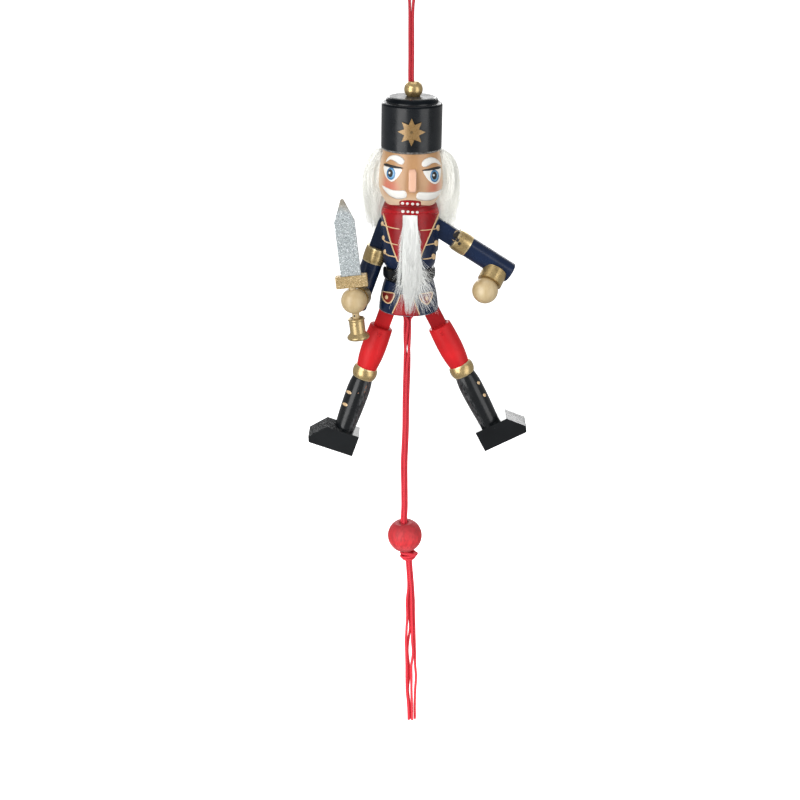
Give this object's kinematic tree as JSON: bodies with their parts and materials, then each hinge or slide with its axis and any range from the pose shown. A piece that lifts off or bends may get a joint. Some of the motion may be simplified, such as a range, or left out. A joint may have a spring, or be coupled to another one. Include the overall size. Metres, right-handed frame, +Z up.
{
  "type": "pull string jumping jack",
  "caption": "Wooden soldier figure that hangs on a cord; pulling the beaded string below it lifts the hinged arms and legs.",
  "frame": {"origin": "the point where the hanging loop bears on its hook, in the figure's middle plane", "axes": "+Z up, the figure faces -Y, +X to the viewer's right"},
  "size_m": [0.0805, 0.0324, 0.2896],
  "materials": {
    "red_cord": "satin cord",
    "gold_paint": "gold paint, satin",
    "black_paint": "black gloss paint",
    "dark_steel": "blackened",
    "skin_paint": "satin paint",
    "white_fur": "soft fur",
    "bare_wood": "clear varnish",
    "navy_paint": "gloss paint",
    "brass_pin": "plain",
    "silver_glitter": "glitter",
    "gold_glitter": "glitter",
    "red_paint": "gloss paint"
  },
  "bodies": {
    "torso": {"hanging_loop": "red_cord", "hanger_knot": "red_cord", "finial_ball": "gold_paint", "hat": "black_paint", "hat_star": "gold_paint", "star_tack": "dark_steel", "head": "skin_paint", "nose": "skin_paint", "hair": "white_fur", "beard": "white_fur", "neck_dowel": "bare_wood", "chest": "navy_paint", "belt": "black_paint", "skirt": "navy_paint", "shoulder_pins": "brass_pin", "hip_pins": "brass_pin"},
    "arm_left": {"arm_tab_left": "navy_paint", "sleeve_ring_left": "gold_paint", "forearm_left": "navy_paint", "elbow_pin_left": "dark_steel", "cuff_left": "gold_paint", "hand_left": "bare_wood", "hand_dowel_left": "bare_wood", "string_knot_arm_left": "red_cord", "sword_blade": "silver_glitter", "sword_guard": "gold_glitter", "sword_tang": "bare_wood", "sword_grip": "gold_paint"},
    "arm_right": {"arm_tab_right": "navy_paint", "sleeve_ring_right": "gold_paint", "forearm_right": "navy_paint", "elbow_pin_right": "dark_steel", "cuff_right": "gold_paint", "hand_right": "bare_wood", "hand_dowel_right": "bare_wood", "string_knot_arm_right": "red_cord"},
    "leg_left": {"leg_tab_left": "red_paint", "thigh_left": "red_paint", "thigh_pin_left": "dark_steel", "knee_ring_left": "gold_paint", "knee_dowel_left": "bare_wood", "boot_left": "black_paint", "foot_left": "black_paint", "string_knot_leg_left": "red_cord"},
    "leg_right": {"leg_tab_right": "red_paint", "thigh_right": "red_paint", "thigh_pin_right": "dark_steel", "knee_ring_right": "gold_paint", "knee_dowel_right": "bare_wood", "boot_right": "black_paint", "foot_right": "black_paint", "string_knot_leg_right": "red_cord"},
    "pull": {"pull_string_arm_left": "red_cord", "pull_string_arm_right": "red_cord", "pull_string_leg_left": "red_cord", "pull_string_leg_right": "red_cord", "pull_bead": "red_paint", "pull_knot": "red_cord"}
  },
  "joints": [
    {"name": "hip_left", "type": "hinge", "parent": "torso", "child": "leg_left", "pos_m": [-0.0064, 0, -0.115], "axis": [0, 1, 0], "range_deg": [0, 45]},
    {"name": "hip_right", "type": "hinge", "parent": "torso", "child": "leg_right", "pos_m": [0.0064, 0, -0.115], "axis": [0, -1, 0], "range_deg": [0, 45]},
    {"name": "shoulder_left", "type": "hinge", "parent": "torso", "child": "arm_left", "pos_m": [-0.0084, 0, -0.0868], "axis": [0, 1, 0], "range_deg": [0, 58]},
    {"name": "shoulder_right", "type": "hinge", "parent": "torso", "child": "arm_right", "pos_m": [0.0084, 0, -0.0868], "axis": [0, -1, 0], "range_deg": [0, 58]},
    {"name": "pull_slide", "type": "slide", "parent": "torso", "child": "pull", "axis": [0, 0, -1], "range_m": [0, 0.0036]}
  ],
  "couplings": [
    {"joint": "hip_right", "follows": "hip_left", "ratio": 1},
    {"joint": "shoulder_left", "follows": "hip_left", "ratio": 1.288},
    {"joint": "shoulder_right", "follows": "hip_left", "ratio": 1.288},
    {"joint": "pull_slide", "follows": "hip_left", "m_per_rad": 0.00458}
  ]
}
